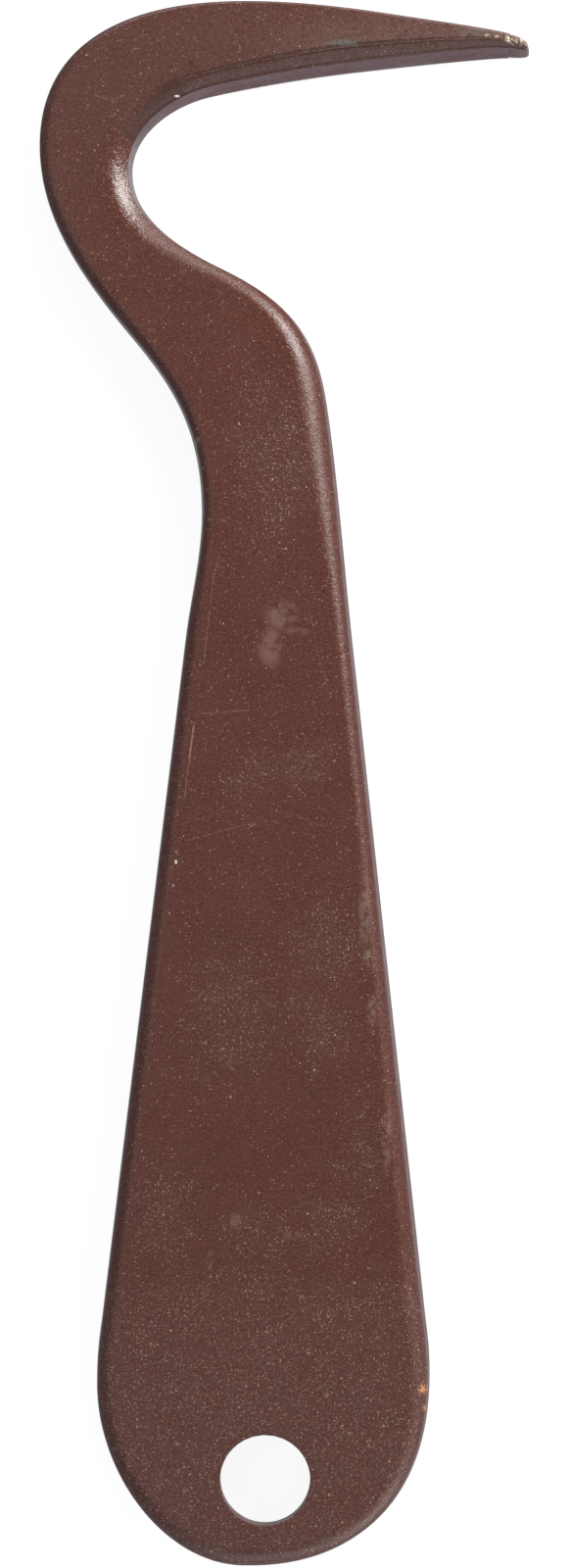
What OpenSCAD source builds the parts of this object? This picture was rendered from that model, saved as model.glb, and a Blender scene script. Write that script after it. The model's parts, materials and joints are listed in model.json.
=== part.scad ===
// Hoof pick: a flat one-piece iron tool with a hooked beak, a slim neck, a broad
// handle and a hanging hole, finished with a thin baked coat.
// It lies on its back: +Z is the face, +Y runs towards the hook, and the beak
// points along +X. The origin is on the back, under the middle of the outline.

/* [Overall] */
// Length from the end of the handle to the top of the hook
pick_length = 159.9; // [152:0.1:172]
// Thickness of the pick, with its coat
pick_t = 5; // [4:0.5:7]
// Thickness of the baked coat
coat_t = 0.1; // [0.08:0.01:0.2]

/* [Handle] */
// Widest part of the handle
handle_w = 34.1; // [30:0.1:38]
// Width of the handle where it runs into the neck
neck_w = 17.05; // [15:0.05:19]
// Lean of the handle's centre line towards the beak, in degrees
handle_lean = 0.43; // [0:0.01:1]
// Distance from the centre of the hanging hole to the end of the handle
end_margin = 8.9; // [8.5:0.1:12]
// Diameter of the hanging hole
hole_d = 9.2; // [6:0.1:10]

/* [Hook] */
// Width of the hook, from the back of its bend to the point of the beak
hook_w = 50.15; // [47:0.05:54]
// How much lower the face is at the point of the beak than at the bend
beak_drop = 0.9; // [0:0.1:1.2]
// Length of bare iron at the point of the beak, where the coat has worn off
bare_len = 2; // [1:0.1:3]

/* [Edges] */
// Width of the rounded edge of the face along the handle
face_round = 1.9; // [1.2:0.1:2.2]
// Radius of the rounded edge of the back
back_round = 0.7; // [0.5:0.1:1]

/* [Hidden] */

bore_fn = 96;                 // facets of the hanging hole
back_steps = 3;               // steps across the rounded edge of the back
face_steps = 5;               // steps across the rounded edge of the face
end_flat = 0.4;               // half the flat at the very end of the handle
tip_flat = 0.15;              // half the flat at the very point of the beak

hook_top = pick_length - end_margin;        // top of the hook, above the hole
bend_x = -23.1;                             // back of the hook's bend
tip_x = bend_x + hook_w + coat_t;           // point of the beak, if it were coated
tip_y = hook_top - 5.05;
end_x = -1.7;                               // lowest point of the handle's end
wide_y = 10;                                // where the handle is widest
flank_y = [17.5, hook_top - 65];            // straight part of both flanks
flank_w = [handle_w - 1.2, neck_w];         // widths at its two ends
beak_span = 6;                              // stretch where the beak begins
drop_x = -2;                                // its face starts to fall here

// Centre line of the handle at height y, and one flank of a given width
function lean_x(y) = y * tan(handle_lean) - 0.27;
function flank(y, w, side) = [lean_x(y) + side * w / 2, y];
flank_out = 90 - atan((flank_w[0] - flank_w[1]) / 2 / (flank_y[1] - flank_y[0])) - handle_lean;
flank_in = 180 - flank_out - 2 * handle_lean;

// Outline nodes, measured from the hole: [[x, y], heading, reach before, reach after].
// Each pair of nodes is joined by one Bezier curve. Both lists run from the end of
// the handle to the point of the beak, the first up the back of the hook and the
// second up the throat.
outer_nodes = [
    [[end_x - end_flat, -end_margin], 180, 0, 8.1],
    [flank(wide_y - 0.4, handle_w, -1), 90, 9.2, 3.6],
    [flank(flank_y[0], flank_w[0], -1), flank_out, 3, 20],
    [flank(flank_y[1], flank_w[1], -1), flank_out, 20, 4.5],
    [[-6.5, hook_top - 51.5], 91.5, 4.5, 8.3],
    [[bend_x + 9.4, hook_top - 34.2], 129.8, 6.2, 7],
    [[bend_x, hook_top - 14.8], 90, 7.6, 9.4],
    [[bend_x + 20.9, hook_top], 0, 13.8, 5.5],
    [[tip_x - 13.95, hook_top - 1.35], -8.5, 5, 4],
    [[tip_x - 3.65, hook_top - 2.91], -10, 3, 2.5],
    [[tip_x, tip_y + tip_flat], -90, 1, 0]
];
inner_nodes = [
    [[end_x + end_flat, -end_margin], 0, 0, 9.5],
    [flank(wide_y + 0.6, handle_w, 1), 90, 14, 3.2],
    [flank(flank_y[0], flank_w[0], 1), flank_in, 3, 20],
    [flank(flank_y[1], flank_w[1], 1), flank_in, 20, 7.5],
    [[6.2, hook_top - 40.4], 99.5, 6.5, 6.9],
    [[-4.4, hook_top - 27.2], 154, 7.2, 4.3],
    [[bend_x + 9.5, hook_top - 17.4], 90, 4.9, 4],
    [[bend_x + 17.5, hook_top - 9.6], 13, 4, 4],
    [[tip_x - 17.95, hook_top - 7.1], 6.5, 5, 4.5],
    [[tip_x - 3.65, tip_y - 0.6], 4, 4, 2.3],
    [[tip_x, tip_y - tip_flat], 90, 0.5, 0]
];

// Edge shape at each node: [width of the face's round, its steepest slope in
// degrees, how far the wall leans in under it, radius of the back's round]
outer_edges = [
    [face_round, 75, 0.1, back_round],
    [face_round - 0.2, 78, 0.1, back_round],
    [face_round - 0.2, 78, 0.1, back_round],
    [face_round - 0.45, 78, 0.1, back_round],
    [face_round - 0.9, 75, 0.2, back_round],
    [face_round - 0.6, 75, 0.15, back_round],
    [face_round - 0.7, 75, 0.05, back_round],
    [0.35, 85, 0.02, 0.5],
    [0.32, 85, 0.02, 0.5],
    [0.32, 80, 0.05, 0.4],
    [0.3, 75, 0.15, 0.35]
];
inner_edges = [
    [face_round, 75, 0.1, back_round],
    [face_round, 75, 0.3, back_round],
    [face_round + 0.1, 75, 0.35, back_round],
    [face_round - 0.4, 75, 0.35, back_round],
    [face_round + 0.3, 72, 0.3, back_round],
    [face_round - 0.5, 54, 0.15, back_round],
    [face_round + 0.65, 50, 0.4, back_round],
    [face_round - 0.1, 50, 0.85, back_round],
    [face_round, 50, 0.95, 0.6],
    [1.1, 50, 0.95, 0.4],
    [0.3, 75, 0.35, 0.35]
];

// Steps along each stretch between two nodes, the same on both sides
span_steps = [14, 2, 3, 5, 7, 8, 12, 5, 5, 7];

function unit(heading) = [cos(heading), sin(heading)];

function bezier(a, b, c, d, t) =
    let (s = 1 - t)
    s * s * s * a + 3 * s * s * t * b + 3 * s * t * t * c + t * t * t * d;
function bezier_slope(a, b, c, d, t) =
    let (s = 1 - t)
    s * s * (b - a) + 2 * s * t * (c - b) + t * t * (d - c);

// A list of values between two nodes, on a smooth curve through its neighbours
function blend(rows, i, t) =
    let (before = rows[max(i - 1, 0)], a = rows[i], b = rows[i + 1],
         after = rows[min(i + 2, len(rows) - 1)])
    a * (1 + t * t * (2 * t - 3)) + b * t * t * (3 - 2 * t)
    + (b - before) / 2 * t * (1 - t) * (1 - t) - (after - a) / 2 * t * t * (1 - t);

// One column of the edge, from the back up to the face: [x, y, z] points on a
// skin that lies depth below the coated surface. side is 1 on the outer chain.
function edge_column(nodes, edges, side, i, t, depth) =
    let (p = nodes[i], q = nodes[i + 1],
         b = p[0] + p[3] * unit(p[1]), c = q[0] - q[2] * unit(q[1]),
         place = bezier(p[0], b, c, q[0], t),
         slope = bezier_slope(p[0], b, c, q[0], t),
         inward = side * [slope[1], -slope[0]] / norm(slope),
         e = blend(edges, i, t),
         fall = i < beak_span ? 0 : max(0, (place[0] - drop_x) / (tip_x - drop_x)),
         top = pick_t - beak_drop * fall * fall,
         r = e[0] / sin(e[1]))
    [
        for (k = [0 : back_steps])
            let (a = 90 * k / back_steps, in = e[3] * (1 - sin(a)) + depth * sin(a))
            [each place + in * inward, e[3] - (e[3] - depth) * cos(a)],
        for (k = [0 : face_steps])
            let (a = e[1] * (1 - k / face_steps),
                 in = e[2] + e[0] - (r - depth) * sin(a))
            [each place + in * inward, top - r + (r - depth) * cos(a)]
    ];

function reversed(list) = [for (k = [len(list) - 1 : -1 : 0]) list[k]];

// One section across the pick: up the outer edge and down the inner edge
function section(i, t, depth) = concat(
    edge_column(outer_nodes, outer_edges, 1, i, t, depth),
    reversed(edge_column(inner_nodes, inner_edges, -1, i, t, depth)));

last_span = len(span_steps) - 1;
stations = [
    for (i = [0 : last_span])
        for (k = [0 : span_steps[i] - 1])
            [i, k / span_steps[i]],
    [last_span, 1]
];
ring = 2 * (back_steps + face_steps + 2);   // points in one section

function skin_points(count, depth) =
    [for (k = [0 : count - 1]) each section(stations[k][0], stations[k][1], depth)];

// Faces of a skin of count sections whose first point is number base
function skin_faces(count, base) = [
    for (s = [0 : count - 2])
        for (k = [0 : ring - 1])
            let (a = base + s * ring, next = (k + 1) % ring)
            [a + k, a + ring + k, a + ring + next, a + next]
];

// Faces that close one section like the rungs of a ladder
function rung_faces(base) =
    [for (k = [0 : ring / 2 - 2]) [base + k, base + k + 1, base + ring - 2 - k, base + ring - 1 - k]];

function turned(faces) = [for (f = faces) reversed(f)];

// Middle of the outline, which the origin is under
outline = [
    for (s = stations)
        each [section(s[0], s[1], 0)[back_steps], section(s[0], s[1], 0)[ring - 1 - back_steps]]
];
centre = [
    (tip_x - coat_t + min([for (p = outline) p[0]])) / 2,
    (max([for (p = outline) p[1]]) + min([for (p = outline) p[1]])) / 2
];

// The whole pick as one solid, its surface depth below the coat's surface
module pick_solid(depth) {
    count = len(stations);
    polyhedron(
        points = skin_points(count, depth),
        faces = concat(
            skin_faces(count, 0),
            rung_faces(0),
            turned(rung_faces((count - 1) * ring))),
        convexity = 6);
}

// The coat as a thin sleeve that is open at the bare point of the beak
coat_count = len([for (s = stations) if (section(s[0], s[1], 0)[back_steps][0] < tip_x - bare_len) s]);
module coat_sleeve() {
    inner = coat_count * ring;
    rim = (coat_count - 1) * ring;
    polyhedron(
        points = concat(skin_points(coat_count, 0), skin_points(coat_count, coat_t)),
        faces = concat(
            skin_faces(coat_count, 0),
            rung_faces(0),
            turned(skin_faces(coat_count, inner)),
            turned(rung_faces(inner)),
            [for (k = [0 : ring - 1])
                let (next = (k + 1) % ring)
                [rim + k, inner + rim + k, inner + rim + next, rim + next]]),
        convexity = 8);
}

module hole_cylinder(r, low, high) {
    translate([0, 0, low])
        cylinder(r = r, h = high - low, $fn = bore_fn);
}

module iron_body() {
    color([0.42, 0.4, 0.37])
    translate([-centre[0], -centre[1], 0])
        difference() {
            pick_solid(coat_t);
            hole_cylinder(hole_d / 2 + coat_t, -1, pick_t + 1);
        }
}

// The coat covers every side and lines the hanging hole
module brown_coating() {
    color([0.39, 0.26, 0.22])
    translate([-centre[0], -centre[1], 0])
        difference() {
            union() {
                coat_sleeve();
                hole_cylinder(hole_d / 2 + coat_t, coat_t / 2, pick_t - coat_t / 2);
            }
            hole_cylinder(hole_d / 2, -1, pick_t + 1);
        }
}

iron_body();
brown_coating();
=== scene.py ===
import json
import math

import bmesh
import bpy
import numpy as np
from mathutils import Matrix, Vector


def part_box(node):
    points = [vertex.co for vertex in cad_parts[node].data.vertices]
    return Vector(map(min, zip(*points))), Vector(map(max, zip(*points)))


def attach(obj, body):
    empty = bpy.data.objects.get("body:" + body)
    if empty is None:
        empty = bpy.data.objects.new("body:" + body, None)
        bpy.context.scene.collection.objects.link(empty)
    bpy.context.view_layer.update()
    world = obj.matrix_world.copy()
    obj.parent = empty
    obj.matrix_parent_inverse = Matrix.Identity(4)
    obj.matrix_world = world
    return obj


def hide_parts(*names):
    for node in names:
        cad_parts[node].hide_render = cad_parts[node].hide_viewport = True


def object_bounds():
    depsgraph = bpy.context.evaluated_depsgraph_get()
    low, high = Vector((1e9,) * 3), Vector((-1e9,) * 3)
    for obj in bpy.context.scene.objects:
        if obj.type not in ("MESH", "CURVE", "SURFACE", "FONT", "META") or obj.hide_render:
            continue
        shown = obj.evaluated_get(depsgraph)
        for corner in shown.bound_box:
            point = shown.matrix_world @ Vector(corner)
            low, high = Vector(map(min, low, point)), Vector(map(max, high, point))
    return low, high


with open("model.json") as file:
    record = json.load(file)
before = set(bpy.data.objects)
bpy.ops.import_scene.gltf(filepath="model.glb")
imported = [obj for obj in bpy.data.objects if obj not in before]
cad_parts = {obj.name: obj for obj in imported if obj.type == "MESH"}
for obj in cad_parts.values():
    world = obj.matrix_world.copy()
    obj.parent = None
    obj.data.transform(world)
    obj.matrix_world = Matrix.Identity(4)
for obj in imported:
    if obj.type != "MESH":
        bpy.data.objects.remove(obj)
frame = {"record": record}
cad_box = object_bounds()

# A one-piece iron hoof pick under a thin brown baked coat. The CAD solids are faceted,
# so both are replaced here by fine meshes of the same outline and thickness. Lengths in
# the shape code are millimetres from the centre of the hanging hole; METRE turns them
# into the frame's.
METRE = 0.001

record = frame["record"]
hole = next(m for m in record["mounts"] if m["name"] == "hanging_hole")
hole_r = hole["dims"]["r_mm"]
hole_at = Vector((hole["pos_m"][0], hole["pos_m"][1], cad_box[0].z))
low = (cad_box[0] - hole_at) / METRE
high = (cad_box[1] - hole_at) / METRE

pick_t = high.z
coat_t = (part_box("iron_body")[0].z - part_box("brown_coating")[0].z) / METRE
end_y = low.y
end_x = -1.7
hook_top = high.y
bend_x = low.x
tip_x = high.x + coat_t
tip_y = hook_top - 5.05
handle_lean = 0.43
flank_y = (17.5, hook_top - 65)
flank_w = (32.9, 17.05)
wide_w = 34.1
face_round = 1.9
back_round = 0.7
end_flat = 0.4
tip_flat = 0.15
beak_span = 6
beak_drop = 0.9
drop_x = -2
bare_len = 2
hole_round = 0.12


def flank(y, width, side):
    """A point on one flank of the handle, whose centre line leans a little."""
    return (y * math.tan(math.radians(handle_lean)) - 0.27 + side * width / 2, y)


taper = math.degrees(math.atan((flank_w[0] - flank_w[1]) / 2 / (flank_y[1] - flank_y[0])))
out_heading = 90 - taper - handle_lean
in_heading = 90 + taper - handle_lean

# Outline nodes: point, heading in degrees, reach before it and reach after it. Both run
# from the end of the handle to the point of the beak, joined by Bezier curves.
OUTER_NODES = [
    ((end_x - end_flat, end_y), 180, 0, 8.1),
    (flank(9.6, wide_w, -1), 90, 9.2, 3.6),
    (flank(flank_y[0], flank_w[0], -1), out_heading, 3, 20),
    (flank(flank_y[1], flank_w[1], -1), out_heading, 20, 4.5),
    ((-6.5, hook_top - 51.5), 91.5, 4.5, 8.3),
    ((bend_x + 9.4, hook_top - 34.2), 129.8, 6.2, 7),
    ((bend_x, hook_top - 14.8), 90, 7.6, 9.4),
    ((bend_x + 20.9, hook_top), 0, 13.8, 5.5),
    ((tip_x - 13.95, hook_top - 1.35), -8.5, 5, 4),
    ((tip_x - 3.65, hook_top - 2.91), -10, 3, 2.5),
    ((tip_x, tip_y + tip_flat), -90, 1, 0),
]
INNER_NODES = [
    ((end_x + end_flat, end_y), 0, 0, 9.5),
    (flank(10.6, wide_w, 1), 90, 14, 3.2),
    (flank(flank_y[0], flank_w[0], 1), in_heading, 3, 20),
    (flank(flank_y[1], flank_w[1], 1), in_heading, 20, 7.5),
    ((6.2, hook_top - 40.4), 99.5, 6.5, 6.9),
    ((-4.4, hook_top - 27.2), 154, 7.2, 4.3),
    ((bend_x + 9.5, hook_top - 17.4), 90, 4.9, 4),
    ((bend_x + 17.5, hook_top - 9.6), 13, 4, 4),
    ((tip_x - 17.95, hook_top - 7.1), 6.5, 5, 4.5),
    ((tip_x - 3.65, tip_y - 0.6), 4, 4, 2.3),
    ((tip_x, tip_y - tip_flat), 90, 0.5, 0),
]

# Edge shape at each node: width of the face's round, its steepest slope in degrees, how
# far the wall leans in under it, the radius of the back's round, how soon the round turns
# into a flat bevel (1 is a plain arc), and the depth of the groove between bevel and wall.
OUTER_EDGES = [
    (face_round, 75, 0.1, back_round, 1, 0),
    (face_round - 0.2, 78, 0.1, back_round, 1, 0),
    (face_round - 0.2, 78, 0.1, back_round, 1, 0),
    (face_round - 0.45, 78, 0.1, back_round, 1, 0),
    (face_round - 0.9, 75, 0.2, back_round, 1, 0),
    (face_round - 0.6, 75, 0.15, back_round, 1, 0),
    (face_round - 0.7, 75, 0.05, back_round, 1, 0),
    (0.35, 85, 0.02, 0.5, 1, 0),
    (0.32, 85, 0.02, 0.5, 1, 0),
    (0.32, 80, 0.05, 0.4, 1, 0),
    (0.3, 75, 0.15, 0.35, 1, 0),
]
INNER_EDGES = [
    (face_round, 75, 0.1, back_round, 1, 0),
    (face_round, 75, 0.3, back_round, 1, 0),
    (face_round + 0.1, 75, 0.35, back_round, 1, 0),
    (face_round - 0.4, 75, 0.35, back_round, 1, 0),
    (face_round + 0.8, 64, 0.3, back_round, 1, 0),
    (face_round - 0.35, 48, 0.15, back_round, 1.4, 0),
    (face_round + 0.75, 36, 0.45, back_round, 1.8, 0),
    (face_round - 0.1, 38, 0.85, back_round, 3, 0.1),
    (face_round, 36, 0.95, 0.6, 3.5, 0.1),
    (1.1, 42, 0.95, 0.4, 3, 0.08),
    (0.3, 75, 0.35, 0.35, 1, 0),
]

# Steps along each stretch between two nodes, and across each part of the edge. The steps
# over the face's round are closest where the grooves are.
SPAN_STEPS = (80, 20, 90, 40, 50, 60, 80, 40, 34, 34)
BACK_STEPS = 6
WALL_STEPS = np.array((0.2, 0.4, 0.6, 0.8, 0.97))
FACE_STEPS = np.array((1, 0.98, 0.955, 0.93, 0.905, 0.88, 0.855, 0.83, 0.76, 0.68, 0.6, 0.5, 0.4,
                       0.3, 0.23, 0.19, 0.15, 0.11, 0.08, 0.05, 0.02, 0))
FINE_STEPS = np.linspace(0, 1, 61)
FOOT_STEPS = 2
ACROSS_STEPS = 10
RADIAL_STEPS = 12
BORE_STEPS = 4

# The face and the back run out in rays from the hanging hole up to this station
RAY_STATIONS = SPAN_STEPS[0] + 6

# Grooves between bevel and wall: where each starts and ends on the face's round, from 0
# at the face to 1 at the wall, and its share of the groove's depth
GROOVES = ((0.83, 0.98, 1), (0.02, 0.23, 0.6))

# Powers that shape how the bare iron swells past the coat's edge and sinks at the point
SWELL_START = 0.5
SWELL_END = 3


def unit(heading):
    return np.array([math.cos(math.radians(heading)), math.sin(math.radians(heading))])


def stations():
    """Every place along the pick as (stretch, share of it), from handle end to beak."""
    rows = [(i, k / n) for i, n in enumerate(SPAN_STEPS) for k in range(n)]
    return rows + [(len(SPAN_STEPS) - 1, 1.0)]


def blend(rows, i, t):
    """Values between node i and the next on a smooth curve through its neighbours."""
    rows = np.array(rows, float)
    before, a, b = rows[max(i - 1, 0)], rows[i], rows[i + 1]
    after = rows[min(i + 2, len(rows) - 1)]
    ease = t * t * (3 - 2 * t)
    lead = (b - before) / 2 * t * (1 - t) ** 2
    trail = (after - a) / 2 * t * t * (1 - t)
    return a + (b - a) * ease + lead - trail


def face_profile(width, steep, bevel, groove):
    """Distance in from the edge, drop and slope at FACE_STEPS, from the crease to the face."""
    slope = steep * (1 - (1 - FINE_STEPS) ** bevel)
    middle = (slope[1:] + slope[:-1]) / 2
    run = np.concatenate([[0], np.cumsum(np.cos(middle))])
    drop = np.concatenate([[0], np.cumsum(np.sin(middle))]) * width / run[-1]
    run = width * (1 - run / run[-1])
    run, drop, slope = (np.interp(FACE_STEPS, FINE_STEPS, row) for row in (run, drop, slope))
    dip = 0
    for start, end, share in GROOVES:
        wave = np.clip((FACE_STEPS - start) / (end - start), 0, 1)
        dip = dip + groove * share * np.sin(math.pi * wave) ** 2
    return run + dip * np.sin(slope), drop + dip * np.cos(slope), slope


def edge_column(nodes, edges, side, i, t, depth):
    """Points up the edge at one station, from the back to the face, depth under the coat."""
    (start, start_heading, _, reach), (end, end_heading, back_reach, _) = nodes[i], nodes[i + 1]
    p0, p3 = np.array(start), np.array(end)
    p1, p2 = p0 + reach * unit(start_heading), p3 - back_reach * unit(end_heading)
    s = 1 - t
    place = s**3 * p0 + 3 * s * s * t * p1 + 3 * s * t * t * p2 + t**3 * p3
    slope = s * s * (p1 - p0) + 2 * s * t * (p2 - p1) + t * t * (p3 - p2)
    inward = side * np.array([slope[1], -slope[0]]) / np.linalg.norm(slope)
    width, steep, lean, round_r, bevel, groove = blend(edges, i, t)
    fall = max(0, (place[0] - drop_x) / (tip_x - drop_x)) if i >= beak_span else 0
    top = pick_t - beak_drop * fall * fall

    turn = np.linspace(0, math.pi / 2, BACK_STEPS + 1)
    back_in = round_r * (1 - np.sin(turn)) + depth * np.sin(turn)
    back_z = round_r - (round_r - depth) * np.cos(turn)
    run, drop, tilt = face_profile(width, math.radians(steep), max(bevel, 1), max(groove, 0))
    face_in = lean + run + depth * np.sin(tilt)
    face_z = top - drop - depth * np.cos(tilt)
    wall_in = back_in[-1] + (face_in[0] - back_in[-1]) * WALL_STEPS
    wall_z = back_z[-1] + (face_z[0] - back_z[-1]) * WALL_STEPS
    inset = np.concatenate([back_in, wall_in, face_in])
    flat = place + inset[:, None] * inward
    return np.column_stack([flat, np.concatenate([back_z, wall_z, face_z])])


def grid(points):
    """Quads over a rectangular array of points."""
    rows, cols = points.shape[:2]
    index = np.arange(rows * cols).reshape(rows, cols)
    quads = np.stack([index[:-1, :-1], index[:-1, 1:], index[1:, 1:], index[1:, :-1]], -1)
    return points.reshape(-1, 3), quads.reshape(-1, 4)


def across(a, b, steps):
    """Rows of points between two matching lines of points."""
    share = np.linspace(0, 1, steps + 1)[None, :, None]
    return a[:, None, :] * (1 - share) + b[:, None, :] * share


def swell_out(places, first):
    """The places with the bare iron swelling out to the coat's surface from station first."""
    turns = np.linspace(0, math.pi, len(places) - first)
    swollen = []
    for (i, t, depth), turn in zip(places[first:], turns):
        swell = math.sin(turn) ** (SWELL_START if turn < math.pi / 2 else SWELL_END)
        swollen.append((i, t, depth * (1 - swell)))
    return places[:first] + swollen


def flat_patches(outer, inner, ring, depth):
    """The back (ring 0) or the face (ring -1): strips, then rays round the hanging hole.

    The hole's rim comes with them, as directions from its centre and heights.
    """
    cut = RAY_STATIONS
    strips = across(outer[cut:, ring], inner[cut:, ring], ACROSS_STEPS)
    foot = across(outer[:1, ring], inner[:1, ring], FOOT_STEPS)[0, 1:-1]
    border = np.concatenate([outer[: cut + 1, ring], strips[0, 1:-1],
                             inner[: cut + 1, ring][::-1], foot[::-1], outer[:1, ring]])
    rays = border[:, :2] / np.linalg.norm(border[:, :2], axis=1)[:, None]
    circle = np.column_stack([rays * (hole_r + depth + hole_round), border[:, 2]])
    return [strips, across(circle, border, RADIAL_STEPS)], (rays, border[:, 2])


def bore_patch(back_rim, face_rim, depth):
    """The wall of the hanging hole, with a small round at each end."""
    turn = np.linspace(0, math.pi / 2, BORE_STEPS + 1)
    radii = hole_r + depth + hole_round * (1 - np.sin(turn))
    climbs = hole_round * (1 - np.cos(turn))
    (back_rays, back_z), (face_rays, face_z) = back_rim, face_rim
    low_rows = [np.column_stack([back_rays * r, back_z + dz]) for r, dz in zip(radii, climbs)]
    high_rows = [np.column_stack([face_rays * r, face_z - dz]) for r, dz in zip(radii, climbs)]
    return np.array(low_rows + high_rows[::-1])


def skin(depth, last=None, bare_from=None):
    """Patches of the pick's surface, depth under the coat, and the outline of its last end.

    It runs up to station number last. From station number bare_from on, the surface swells
    out to where the coat would be, and sinks back before the very point.
    """
    places = [(i, t, depth) for i, t in stations()[:last]]
    if bare_from is not None:
        places = swell_out(places, bare_from)
    outer = np.array([edge_column(OUTER_NODES, OUTER_EDGES, 1, *place) for place in places])
    inner = np.array([edge_column(INNER_NODES, INNER_EDGES, -1, *place) for place in places])
    patches = [outer, inner, across(outer[0], inner[0], FOOT_STEPS)]
    if last is None:
        patches.append(across(outer[-1], inner[-1], ACROSS_STEPS))
    back, back_rim = flat_patches(outer, inner, 0, depth)
    face, face_rim = flat_patches(outer, inner, -1, depth)
    patches += back + face + [bore_patch(back_rim, face_rim, depth)]
    back_end, face_end = (strips[-1, 1:-1] for strips, _ in (back, face))
    return patches, np.concatenate([outer[-1], face_end, inner[-1][::-1], back_end[::-1]])


def build(name, patches):
    """One closed mesh object, welded from patches of points in millimetres."""
    verts, faces, count = [], [], 0
    for patch in patches:
        points, quads = grid(patch)
        verts.append(points)
        faces.append(quads + count)
        count += len(points)
    verts = np.concatenate(verts) * METRE + np.array(hole_at)
    mesh = bpy.data.meshes.new(name)
    mesh.from_pydata(verts.tolist(), [], np.concatenate(faces).tolist())
    bm = bmesh.new()
    bm.from_mesh(mesh)
    bmesh.ops.remove_doubles(bm, verts=bm.verts, dist=1e-7)
    bmesh.ops.dissolve_degenerate(bm, edges=bm.edges, dist=1e-8)
    bmesh.ops.recalc_face_normals(bm, faces=bm.faces)
    for face in bm.faces:
        face.smooth = True
    bm.to_mesh(mesh)
    bm.free()
    piece = bpy.data.objects.new(name, mesh)
    bpy.context.scene.collection.objects.link(piece)
    return piece


def bare_station():
    """Number of stations that the coat covers, short of the bare point of the beak."""
    for number, (i, t) in enumerate(stations()):
        column = edge_column(OUTER_NODES, OUTER_EDGES, 1, i, t, 0)
        if column[BACK_STEPS][0] > tip_x - bare_len:
            return number
    return len(stations())


def make_coat():
    count = bare_station()
    shell, rim = skin(0, count)
    lining, inner_rim = skin(coat_t, count)
    edge = np.stack([np.vstack([rim, rim[:1]]), np.vstack([inner_rim, inner_rim[:1]])])
    return build("brown_coat", shell + lining + [edge])


def make_iron():
    patches, _ = skin(coat_t, bare_from=bare_station() - 1)
    return build("iron_blank", patches)


# ---------------------------------------------------------------- materials

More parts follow.
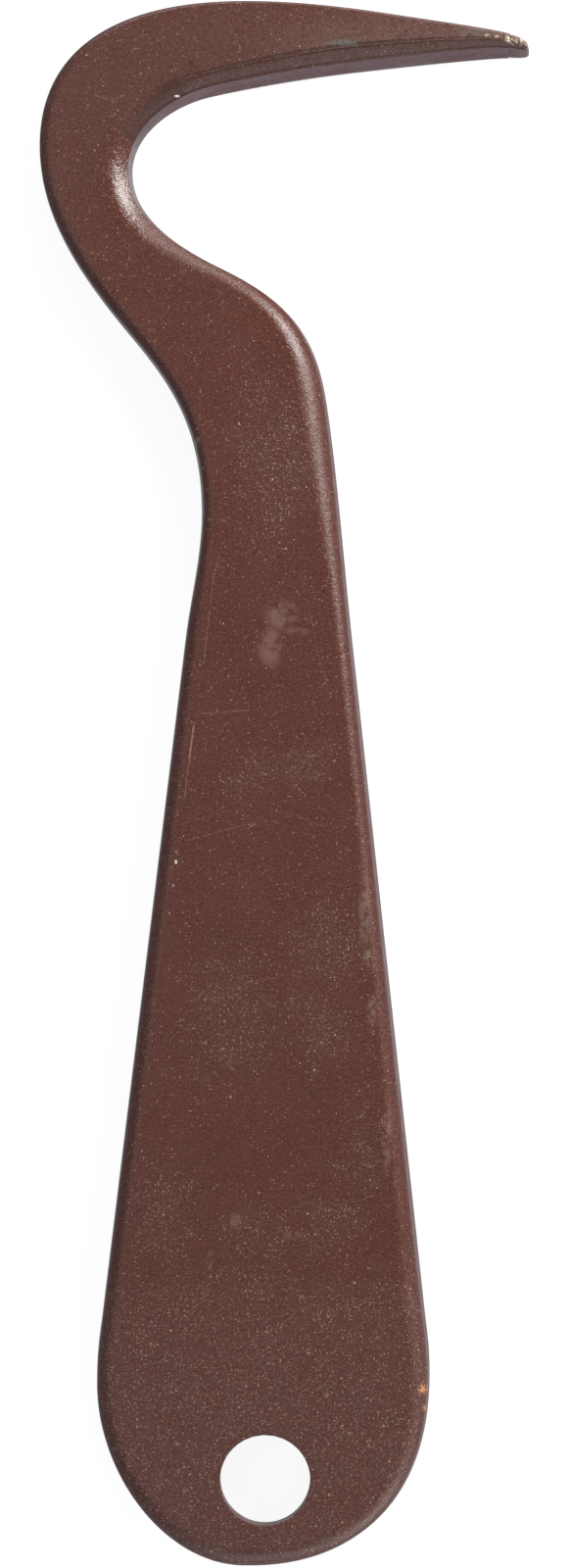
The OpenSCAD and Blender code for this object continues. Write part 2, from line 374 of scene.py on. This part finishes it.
class Shade:
    """Short names for the nodes of one material. Places are millimetres from the hole."""

    def __init__(self, name):
        self.material = bpy.data.materials.new(name)
        self.material.use_nodes = True
        self.tree = self.material.node_tree
        self.shader = self.tree.nodes["Principled BSDF"]
        coords = self.tree.nodes.new("ShaderNodeTexCoord")
        centred = self.vector("SUBTRACT", coords.outputs["Object"], tuple(hole_at))
        self.place = self.vector("MULTIPLY", centred, (1 / METRE,) * 3)
        self.x, self.y, self.z = self.split(self.place)
        self.normal = self.split(coords.outputs["Normal"])
        # 1 on the face and 0 on the back
        self.face = self.ramp(self.z, 2, 3)

    def split(self, value):
        node = self.tree.nodes.new("ShaderNodeSeparateXYZ")
        self.put(node.inputs[0], value)
        return node.outputs

    def put(self, socket, value):
        """Links a socket, or sets it if the value is a constant."""
        if isinstance(value, bpy.types.NodeSocket):
            self.tree.links.new(value, socket)
        elif isinstance(value, tuple) and len(value) == 3 and socket.type == "RGBA":
            socket.default_value = (*value, 1)
        else:
            socket.default_value = value

    def math(self, operation, *values):
        node = self.tree.nodes.new("ShaderNodeMath")
        node.operation = operation
        for socket, value in zip(node.inputs, values):
            self.put(socket, value)
        return node.outputs[0]

    def product(self, first, *others):
        for other in others:
            first = self.math("MULTIPLY", first, other)
        return first

    def most(self, first, *others):
        for other in others:
            first = self.math("MAXIMUM", first, other)
        return first

    def vector(self, operation, *values):
        node = self.tree.nodes.new("ShaderNodeVectorMath")
        node.operation = operation
        for socket, value in zip(node.inputs, values):
            self.put(socket, value)
        return node.outputs["Value" if operation in ("LENGTH", "DOT_PRODUCT") else "Vector"]

    def noise(self, size, detail=2.0, rough=0.5, output=0):
        """Noise whose features are about size millimetres wide, from 0 to 1."""
        node = self.tree.nodes.new("ShaderNodeTexNoise")
        self.put(node.inputs["Vector"], self.place)
        node.inputs["Scale"].default_value = 1 / size
        node.inputs["Detail"].default_value = detail
        node.inputs["Roughness"].default_value = rough
        return node.outputs[output]

    def specks(self, cell, radius, share):
        """Uneven specks of a radius in millimetres, in a share of the cells of a given size."""
        shift = self.vector("SUBTRACT", self.noise(cell * 0.5, 1, 0.5, output=1), (0.5, 0.5, 0.5))
        bent = self.vector("ADD", self.place, self.vector("MULTIPLY", shift, (cell * 0.7,) * 3))
        node = self.tree.nodes.new("ShaderNodeTexVoronoi")
        self.put(node.inputs["Vector"], bent)
        node.inputs["Scale"].default_value = 1 / cell
        chance, strength, _ = self.split(node.outputs["Color"])
        picked = self.math("LESS_THAN", chance, share)
        disc = self.ramp(node.outputs["Distance"], radius / cell, radius / cell * 0.3)
        return self.product(picked, disc, self.ramp(strength, 0, 1, 0.25, 1))

    def ramp(self, value, low, high, out_low=0.0, out_high=1.0):
        """Smooth step of a value from out_low at low to out_high at high."""
        node = self.tree.nodes.new("ShaderNodeMapRange")
        node.interpolation_type = "SMOOTHSTEP"
        for socket, number in zip(node.inputs, (value, low, high, out_low, out_high)):
            self.put(socket, number)
        return node.outputs[0]

    def mix(self, share, a, b):
        node = self.tree.nodes.new("ShaderNodeMix")
        node.data_type = "RGBA"
        self.put(node.inputs[0], share)
        self.put(node.inputs[6], a)
        self.put(node.inputs[7], b)
        return node.outputs[2]

    def bump(self, height, distance, before=None):
        """Bump whose full height is distance, in millimetres."""
        node = self.tree.nodes.new("ShaderNodeBump")
        node.inputs["Distance"].default_value = distance * METRE
        self.put(node.inputs["Height"], height)
        if before is not None:
            self.put(node.inputs["Normal"], before)
        return node.outputs[0]

    def spot(self, centre, radii, place=None, soft=0.7):
        """1 in the middle of an ellipse on the face, falling to 0 at its edge."""
        apart = self.vector("SUBTRACT", place or self.place, (*centre, 0))
        shares = self.vector("MULTIPLY", apart, (1 / radii[0], 1 / radii[1], 0))
        return self.ramp(self.vector("LENGTH", shares), 1, 1 - soft)

    def line(self, start, end, width):
        """1 along a straight scratch between two points on the face, 0 off it."""
        start, end = Vector((*start, 0)), Vector((*end, 0))
        along = (end - start).normalized()
        flat = self.vector("MULTIPLY", self.place, (1, 1, 0))
        apart = self.vector("SUBTRACT", flat, tuple(start))
        run = self.vector("DOT_PRODUCT", apart, tuple(along))
        run = self.math("MINIMUM", run, (end - start).length)
        step = self.tree.nodes.new("ShaderNodeVectorMath")
        step.operation = "SCALE"
        step.inputs[0].default_value = along
        self.put(step.inputs["Scale"], self.math("MAXIMUM", run, 0.0))
        off = self.vector("LENGTH", self.vector("SUBTRACT", apart, step.outputs[0]))
        return self.ramp(off, width, width * 0.2)


# Places below are millimetres from the centre of the hole, and colours are linear RGB.

CLEAN_DARK = (0.076, 0.0158, 0.007)
CLEAN_LIGHT = (0.088, 0.02, 0.0098)
DUST = (0.077, 0.02, 0.0115)
# Painted sheen: a lighter, greyer tint for the lamps' highlight towards the hook and the handle's
# end
SHEEN_TINT = (0.084, 0.035, 0.026)
# Painted sheen on the beak, which faces the key lamp
BEAK_SHEEN = (0.098, 0.0475, 0.0375)
BLOTCH = (0.05, 0.0135, 0.008)
FINE_GRAIN = (0.19, 0.094, 0.069)
# Light specks painted as glints of the lamps off the coat's orange peel
SPECK_GLINT = (0.41, 0.27, 0.21)
# Painted shade on the sloped rounds of the edges
SHADED_ROUND = (0.045, 0.014, 0.01)
# Painted reflection: the grey sheen of the bevel under the beak
BEVEL_REFLECTION = (0.09, 0.048, 0.041)
# Painted reflection: the purple of the floor mirrored in the wall under the beak
WALL_REFLECTION = (0.17, 0.058, 0.06)
# Painted shade: dark lines at the top of the beak's bevel and along the back edge
EDGE_SHADE = (0.026, 0.009, 0.007)
# Painted shade in the inner corner of the hook
CORNER_SHADE = (0.035, 0.011, 0.008)
SCUFF = (0.165, 0.082, 0.063)
SCRATCH = (0.32, 0.2, 0.16)
PATINA = (0.12, 0.076, 0.06)
BRIGHT_IRON = (0.78, 0.66, 0.47)
IRON_DARK = (0.095, 0.042, 0.034)
IRON_LIGHT = (0.115, 0.058, 0.049)

# Where the face is dusty and grainy: (centre, radii)
DUSTY = [
    ((0.9, 104), (7.5, 16)),
    ((2.4, 73), (9, 4)),
    ((-2.5, 71.5), (4, 3.2)),
    ((6.4, 55), (6.5, 8)),
    ((-3.6, 47.5), (8.5, 11)),
    ((5.4, 46), (5, 8)),
    ((10, 34), (4, 9)),
    ((-10.6, 27), (6, 9)),
    ((-1.1, 25.5), (5, 5)),
    ((6.4, 26), (7, 5)),
]

# Lengthways places where dust or the painted sheen starts and where it is full
DUSTY_END = (25, 17)
SHEEN_AT_HOOK = (110, 148)
SHEEN_AT_END = (24, 4)

# Painted sheen along the beak, lighter where it tilts towards the key lamp: (centre, radii)
SHEEN_ON_BEAK = ((14, 146.5), (18, 4.2))

# Where the coat is rubbed glossy: (centre, radii, fall in roughness)
POLISHED = [
    ((-14.5, 132.5), (4, 7), 0.22),
    ((2.2, 118.5), (6, 8), 0.09),
]

# Straight scratches: (start, end, width, strength)
SCRATCHES = [
    ((-4.7, 94.4), (-5.3, 92), 0.1, 0.3),
    ((-5.3, 92), (-6.3, 83.3), 0.08, 0.3),
    ((-7.3, 77), (-7.8, 73.1), 0.14, 0.7),
    ((-7.8, 73.1), (-8.2, 69.8), 0.1, 0.4),
    ((-6.9, 78.2), (-0.2, 78.7), 0.08, 0.35),
    ((-8, 65.3), (-0.9, 67.2), 0.08, 0.3),
    ((2.6, 68), (6.1, 66.7), 0.08, 0.3),
    ((-17.5, 141.4), (-15.8, 140.8), 0.1, 0.3),
    ((-15.8, 140.8), (-14.3, 141.4), 0.1, 0.35),
    ((0.2, 126.5), (8.3, 118.4), 0.07, 0.15),
    ((3.5, 93), (6.5, 80), 0.07, 0.15),
]

# Wear marks: (centre, radii, colour, strength, size of the noise that breaks them up)
MARKS = [
    ((1.7, 88.2), (2.2, 2.2), SCUFF, 0.9, 1.4),
    ((0.5, 85), (1.7, 2.8), SCUFF, 0.9, 1.6),
    ((3.4, 86.6), (1.8, 0.6), SCUFF, 0.5, 1.2),
    ((-6.9, 106), (0.35, 0.7), (0.3, 0.19, 0.15), 0.8, 0.3),
    ((8, 146.7), (2.7, 0.5), (0.115, 0.11, 0.095), 0.85, 0.4),
    ((21.8, 147.7), (3.6, 0.75), (0.105, 0.079, 0.06), 0.85, 0.9),
    ((10.5, 53.3), (0.6, 1.1), (0.19, 0.16, 0.105), 0.9, 0.4),
    ((10.9, 47.7), (0.6, 2.6), (0.19, 0.115, 0.09), 0.7, 0.5),
    ((10.1, 58), (0.8, 5), (0.16, 0.092, 0.068), 0.75, 1),
    ((12.4, 35), (0.6, 5), (0.175, 0.095, 0.075), 0.8, 0.8),
    ((-3.1, 26.5), (1, 1.1), (0.165, 0.095, 0.077), 0.6, 0.7),
    ((2.8, 25), (1.6, 0.6), (0.165, 0.09, 0.07), 0.5, 0.6),
    ((-5.6, 22.5), (0.5, 1.6), (0.15, 0.082, 0.065), 0.5, 0.6),
    ((16.1, 9.3), (0.7, 0.8), (0.5, 0.22, 0.09), 1.0, 0.3),
    ((16.3, 7.3), (0.4, 0.45), (0.45, 0.2, 0.09), 0.9, 0.3),
    ((-7.6, 144.3), (0.5, 0.8), (0.04, 0.012, 0.009), 0.8, 0.35),
    ((-13.5, 131.1), (0.6, 0.8), (0.04, 0.015, 0.013), 0.9, 0.3),
]

# Painted shade in the corner of the hook: (start, end, width, strength)
CORNER_SHADE_LINES = [
    ((-13.4, 137.6), (-9.2, 141.9), 1.9, 0.6),
]

# Chips: (centre, radii, colour)
CHIPS = [
    ((-9.1, 63.1), (0.16, 0.26), (0.62, 0.55, 0.5)),
    ((-9.4, 60.7), (0.1, 0.16), (0.45, 0.35, 0.3)),
    ((-9, 141.3), (0.32, 0.14), (0.75, 0.66, 0.6)),
    ((-19.5, 147.6), (0.12, 0.2), (0.4, 0.3, 0.26)),
    ((9.6, 127), (0.1, 0.1), (0.4, 0.3, 0.26)),
]

# Where iron is rubbed bright at the beak: (start, end, width) and (centre, radii)
RUBBED_RIDGE = [
    ((22.6, 147.5), (24.4, 147.3), 0.22),
    ((24.4, 147.3), (25.7, 146.7), 0.42),
]
RUBBED_CORNER = ((26.2, 146.9), (1.1, 0.7))


def dust_mask(shade):
    """How dusty and grainy the coat is, from 0 to 1, in soft uneven patches."""
    shift = shade.vector("SUBTRACT", shade.noise(4, 3, 0.6, output=1), (0.5, 0.5, 0.5))
    uneven = shade.vector("ADD", shade.place, shade.vector("MULTIPLY", shift, (9, 9, 0)))
    patches = shade.ramp(shade.split(uneven)[1], *DUSTY_END)
    for centre, radii in DUSTY:
        patches = shade.most(patches, shade.spot(centre, radii, uneven, 0.95))
    patches = shade.product(patches, shade.ramp(shade.noise(1.8, 3, 0.6), 0.36, 0.58, 0.6, 1))
    back = shade.ramp(shade.noise(9, 3, 0.6), 0.42, 0.62)
    return shade.math("ADD", shade.product(patches, shade.face),
                      shade.product(back, shade.math("SUBTRACT", 1.0, shade.face)))


def add_wear(shade, tint):
    """Scuffs, chips and scratches on the face, and painted shade in the corner of the hook."""
    for centre, radii, colour, strength, size in MARKS:
        broken = shade.ramp(shade.noise(size, 2, 0.6), 0.38, 0.56)
        mark = shade.product(shade.spot(centre, radii), broken, shade.face, strength)
        tint = shade.mix(mark, tint, colour)
    # Painted shade in the corner of the hook
    for start, end, width, strength in CORNER_SHADE_LINES:
        painted_shade = shade.product(shade.line(start, end, width), shade.face, strength)
        tint = shade.mix(painted_shade, tint, CORNER_SHADE)
    for centre, radii, colour in CHIPS:
        chip = shade.spot(centre, radii, soft=0.4)
        tint = shade.mix(shade.product(chip, shade.face), tint, colour)
    faint = shade.product(shade.ramp(shade.noise(0.5, 2), 0.3, 0.6), shade.face)
    for start, end, width, strength in SCRATCHES:
        scratch = shade.product(shade.line(start, end, width), faint, strength)
        tint = shade.mix(scratch, tint, SCRATCH)
    return tint


def add_bare_metal(shade, tint):
    """Bright iron worn through along the ridge at the point of the beak, as colour and share."""
    ridge = shade.most(*[shade.line(*row) for row in RUBBED_RIDGE])
    corner = shade.product(shade.spot(*RUBBED_CORNER), 0.5)
    broken = shade.ramp(shade.noise(0.6, 2, 0.6), 0.45, 0.54)
    rubbed = shade.product(shade.most(ridge, corner), broken)
    rubbed = shade.product(rubbed, shade.face, shade.ramp(shade.normal[2], 0.3, 0.6))
    mottle = shade.ramp(shade.noise(0.5, 2), 0.35, 0.6)
    patina = shade.product(shade.ramp(shade.x, 22, 25.5), mottle, 0.5)
    tint = shade.mix(shade.product(patina, shade.face), tint, PATINA)
    return shade.mix(rubbed, tint, BRIGHT_IRON), rubbed


def add_edge_tints(shade, tint):
    """Painted shade on rounds, atop the beak's bevel and by the back; painted reflections under
    the beak.
    """
    lean_y, lean_z = shade.normal[1], shade.normal[2]
    # Painted shade on the steeper parts of the rounds
    shaded_rounds = shade.product(shade.ramp(lean_z, 0.8, 0.6), shade.ramp(lean_z, 0.15, 0.3), 0.4)
    tint = shade.mix(shaded_rounds, tint, SHADED_ROUND)
    # Painted grey reflection on the bevel under the beak
    beak = shade.ramp(shade.y, 134, 140)
    bevel = shade.product(shade.ramp(lean_y, -0.3, -0.5), shade.ramp(lean_z, 0.45, 0.6), beak)
    bevel = shade.product(bevel, shade.ramp(shade.x, -12, -5), 0.7)
    tint = shade.mix(bevel, tint, BEVEL_REFLECTION)
    # Painted purple reflection on the wall under the beak
    wall = shade.product(shade.ramp(lean_y, -0.4, -0.7), shade.ramp(lean_z, 0.6, 0.5), beak, 0.8)
    tint = shade.mix(wall, tint, WALL_REFLECTION)
    # Painted dark lines of shade: at the top of the beak's bevel and along the back edge
    start = shade.product(shade.ramp(lean_y, -0.04, -0.1), shade.ramp(lean_y, -0.47, -0.33), beak,
                          shade.ramp(shade.x, -11, -5))
    painted_shade = shade.product(shade.most(start, shade.ramp(shade.z, 0.9, 0.4)), 0.85)
    return shade.mix(painted_shade, tint, EDGE_SHADE)


def coat_colour(shade, dust, grain):
    """The brown coat: red where clean, greyer where dusty; with painted sheen, edge shade and
    glint specks.
    """
    clouds = shade.ramp(shade.noise(6, 4, 0.6), 0.3, 0.7)
    clean = shade.mix(clouds, CLEAN_DARK, CLEAN_LIGHT)
    tint = shade.mix(dust, clean, DUST)
    # Painted sheen, lighter towards the hook and the handle's end, where the lamps are near
    ends = shade.most(shade.ramp(shade.y, *SHEEN_AT_HOOK, 0, 0.75),
                      shade.ramp(shade.y, *SHEEN_AT_END, 0, 0.4))
    sheen = shade.product(ends, shade.ramp(shade.noise(4, 3), 0.2, 0.8, 0.6, 1))
    tint = shade.mix(sheen, tint, SHEEN_TINT)
    # Painted sheen along the beak
    tint = shade.mix(shade.spot(*SHEEN_ON_BEAK), tint, BEAK_SHEEN)
    tint = add_edge_tints(shade, tint)
    blotch = shade.ramp(shade.noise(0.45, 2, 0.6), 0.54, 0.36)
    tint = shade.mix(shade.product(blotch, 0.5), tint, BLOTCH)
    fine = shade.product(shade.ramp(grain, 0.5, 0.66), shade.ramp(dust, 0, 1, 0.42, 0.6))
    tint = shade.mix(fine, tint, FINE_GRAIN)
    # Light specks painted as glints of the lamps off the orange peel
    glint_dots = shade.specks(0.29, 0.105, shade.ramp(dust, 0, 1, 0.22, 0.9))
    big_glint_dots = shade.specks(0.7, 0.14, shade.ramp(dust, 0, 1, 0.06, 0.4))
    glint_dots = shade.most(shade.product(glint_dots, 0.75), big_glint_dots)
    return shade.mix(glint_dots, tint, SPECK_GLINT)


def coat_material():
    shade = Shade("brown_coat")
    shader = shade.shader
    grain = shade.noise(0.2, 2, 0.6)
    dust = dust_mask(shade)
    tint, bare = add_bare_metal(shade, add_wear(shade, coat_colour(shade, dust, grain)))
    shade.put(shader.inputs["Base Color"], tint)
    shade.put(shader.inputs["Metallic"], bare)
    rough = shade.ramp(shade.noise(2.5, 3, 0.6), 0.25, 0.75, -0.05, 0.05)
    rough = shade.math("ADD", rough, shade.ramp(dust, 0, 1, 0.36, 0.44))
    for centre, radii, strength in POLISHED:
        rough = shade.math("SUBTRACT", rough, shade.product(shade.spot(centre, radii), strength))
    shade.put(shader.inputs["Roughness"], rough)
    peel = shade.bump(shade.noise(0.6, 2, 0.5), 0.035)
    shade.put(shader.inputs["Normal"], shade.bump(grain, 0.045, peel))
    return shade.material


def iron_material():
    """Cast iron with brown remains of the coat, rubbed bright on its ridge, and the painted edge
    shade.
    """
    shade = Shade("bare_iron")
    shader = shade.shader
    wear = shade.noise(0.5, 4, 0.6)
    remains = shade.mix(shade.ramp(wear, 0.35, 0.65), IRON_DARK, IRON_LIGHT)
    tint, bare = add_bare_metal(shade, add_edge_tints(shade, remains))
    shade.put(shader.inputs["Base Color"], tint)
    shade.put(shader.inputs["Metallic"], bare)
    shade.put(shader.inputs["Roughness"], shade.ramp(wear, 0.3, 0.7, 0.46, 0.34))
    pits = shade.bump(shade.noise(0.6, 2), 0.03)
    shade.put(shader.inputs["Normal"], shade.bump(shade.noise(0.2, 3), 0.015, pits))
    return shade.material


def floor_material():
    shade = Shade("pale_floor")
    shade.shader.inputs["Base Color"].default_value = (0.2, 0.2, 0.2, 1)
    shade.shader.inputs["Roughness"].default_value = 0.9
    shade.shader.inputs["Specular IOR Level"].default_value = 0.1
    shade.shader.inputs["Emission Color"].default_value = (1, 1, 1, 1)
    shade.shader.inputs["Emission Strength"].default_value = 0.9
    return shade.material


# ---------------------------------------------------------------- stage

# The camera looks straight down. VIEW_HEIGHT is how much of the face's plane it takes in,
# in metres, and SENSOR is in millimetres.
VIEW_HEIGHT = 0.160
CAMERA_HEIGHT = 1.08
SENSOR = 36.0

FLOOR_HALF = 20
FLOOR_GAP = 0.00005

# Soft lights: name, target, azimuth from +X, tilt from +Z, distance, size, radiance,
# colour and the spread of the beam. Angles are degrees and lengths are metres.
LIGHTS = [
    ("key", (-0.015, 0.062, 0), 25, 58, 0.30, (0.15, 0.11), 23, (1, 0.985, 0.96), 180),
    ("low_right", (0, -0.05, 0), -30, 62, 0.3, (0.11, 0.11), 3.6, (1, 0.98, 0.96), 70),
    ("end_edge", (0.01, -0.072, 0), -50, 82, 0.15, (0.09, 0.05), 12, (1, 0.98, 0.96), 45),
    ("near_end", (0, -0.078, 0), -90, 67, 0.12, (0.1, 0.07), 1.9, (0.97, 0.97, 1), 180),
    ("left", (0, -0.02, 0), 185, 27, 0.6, (0.2, 0.4), 1.7, (0.95, 0.93, 1), 180),
    ("top", (0, 0, 0), 88, 72, 1.0, (1.0, 0.3), 7.0, (1, 1, 1), 180),
]


def make_camera():
    data = bpy.data.cameras.new("camera")
    data.sensor_width = SENSOR
    data.lens = SENSOR * CAMERA_HEIGHT / VIEW_HEIGHT
    camera = bpy.data.objects.new("camera", data)
    camera.location = (0, 0, CAMERA_HEIGHT + pick_t * METRE)
    bpy.context.scene.collection.objects.link(camera)
    bpy.context.scene.camera = camera


def softbox(name, target, azimuth, tilt, distance, size, radiance, colour, spread):
    """A soft rectangular light seen from target at an azimuth from +X and a tilt from +Z.

    The radiance is the one seen along its axis; a spread under 180 degrees narrows its beam.
    """
    azimuth, tilt = math.radians(azimuth), math.radians(tilt)
    side = math.sin(tilt)
    away = Vector((math.cos(azimuth) * side, math.sin(azimuth) * side, math.cos(tilt)))
    data = bpy.data.lights.new(name, "AREA")
    data.shape = "RECTANGLE"
    data.size, data.size_y = size
    half = math.radians(spread) / 2
    gain = math.tan(half) / (math.tan(half) - half)
    data.energy = radiance * math.pi * size[0] * size[1] / gain
    data.color = colour
    data.spread = math.radians(spread)
    light = bpy.data.objects.new(name, data)
    light.location = Vector(target) + away * distance
    light.rotation_mode = "QUATERNION"
    light.rotation_quaternion = (-away).to_track_quat("-Z", "Y")
    bpy.context.scene.collection.objects.link(light)


def make_floor():
    mesh = bpy.data.meshes.new("floor")
    half = FLOOR_HALF
    corners = [(-half, -half, 0), (half, -half, 0), (half, half, 0), (-half, half, 0)]
    mesh.from_pydata(corners, [], [(0, 1, 2, 3)])
    floor = bpy.data.objects.new("floor", mesh)
    floor.location.z = -FLOOR_GAP
    floor.visible_glossy = False
    floor.visible_diffuse = False
    floor.data.materials.append(floor_material())
    bpy.context.scene.collection.objects.link(floor)


def make_world():
    """A dim studio, brighter to the right, in front and from straight below, dimmer overhead."""
    world = bpy.data.worlds.new("studio")
    world.use_nodes = True
    tree = world.node_tree
    background = tree.nodes["Background"]
    coords = tree.nodes.new("ShaderNodeTexCoord")

    def dot(axis):
        node = tree.nodes.new("ShaderNodeVectorMath")
        node.operation = "DOT_PRODUCT"
        tree.links.new(coords.outputs["Generated"], node.inputs[0])
        node.inputs[1].default_value = axis
        return node.outputs["Value"]

    def ramp(value, low, high, out_low, out_high):
        node = tree.nodes.new("ShaderNodeMapRange")
        node.interpolation_type = "SMOOTHSTEP"
        tree.links.new(value, node.inputs[0])
        for socket, number in zip(node.inputs[1:5], (low, high, out_low, out_high)):
            socket.default_value = number
        return node.outputs[0]

    def product(first, second):
        node = tree.nodes.new("ShaderNodeMath")
        node.operation = "MULTIPLY"
        tree.links.new(first, node.inputs[0])
        tree.links.new(second, node.inputs[1])
        return node.outputs[0]

    side = ramp(dot((0.8, -0.6, 0)), -0.6, 0.5, 0.38, 0.5)
    high = ramp(dot((0, 0, 1)), 0.25, 0.75, 1.0, 0.55)
    under = ramp(dot((0, 0, 1)), -0.7, -0.9, 1.0, 1.4)
    strength = product(product(side, high), under)
    tree.links.new(strength, background.inputs["Strength"])
    background.inputs["Color"].default_value = (0.95, 0.96, 1.05, 1)
    bpy.context.scene.world = world
    bpy.context.scene.view_settings.view_transform = "Standard"


make_camera()
make_world()
make_floor()
for light in LIGHTS:
    softbox(*light)

coat = make_coat()
coat.data.materials.append(coat_material())
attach(coat, "root")
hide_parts("brown_coating")

iron = make_iron()
iron.data.materials.append(iron_material())
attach(iron, "root")
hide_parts("iron_body")
